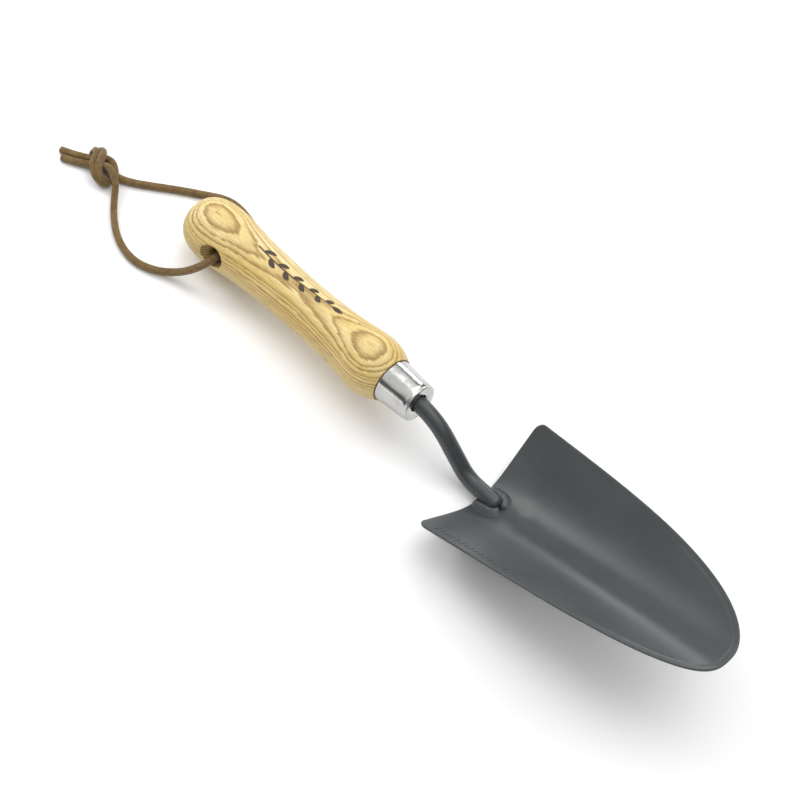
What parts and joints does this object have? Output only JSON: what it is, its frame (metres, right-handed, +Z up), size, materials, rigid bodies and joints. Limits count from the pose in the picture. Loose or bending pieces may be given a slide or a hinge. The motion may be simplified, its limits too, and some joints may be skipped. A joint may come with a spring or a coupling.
{
  "type": "hand transplanter",
  "caption": "Narrow scoop-bladed planting trowel on a swan-neck steel shank, with a turned ash handle, a steel ferrule and a knotted leather hanging loop.",
  "frame": {"origin": "on the supporting surface, midway along the tool from the pommel to the blade's tip, in the tool's plane of symmetry; the lanyard is not counted", "axes": "+X along the tool towards the blade's tip, +Z up with the tool lying hollow side up on its pommel and the blade's heel, +Y to its left"},
  "size_m": [0.4153, 0.0778, 0.0518],
  "materials": {
    "coated_steel": "satin dark grey powder coat",
    "coated_bar": "satin dark grey powder coat",
    "coated_weld": "satin powder coat over a weld bead",
    "ferrule_steel": "polished stainless steel",
    "ash": "oiled ash, flat sawn",
    "epoxy": "cured adhesive, hidden",
    "suede": "brown suede lace"
  },
  "bodies": {
    "trowel": {"blade": "coated_steel", "shank": "coated_bar", "weld_near": "coated_weld", "weld_far": "coated_weld", "ferrule": "ferrule_steel", "handle": "ash", "tang_adhesive": "epoxy"},
    "lanyard": {"lanyard_knot": "suede", "lanyard_near_strand": "suede", "lanyard_far_strand": "suede", "lanyard_near_tail": "suede", "lanyard_far_tail": "suede"}
  },
  "joints": [
    {"name": "lanyard_swing", "type": "hinge", "parent": "trowel", "child": "lanyard", "pos_m": [-0.13726, 0, 0.01667], "axis": [0.0215, 0.9703, -0.241], "range_deg": [0, 160]}
  ]
}
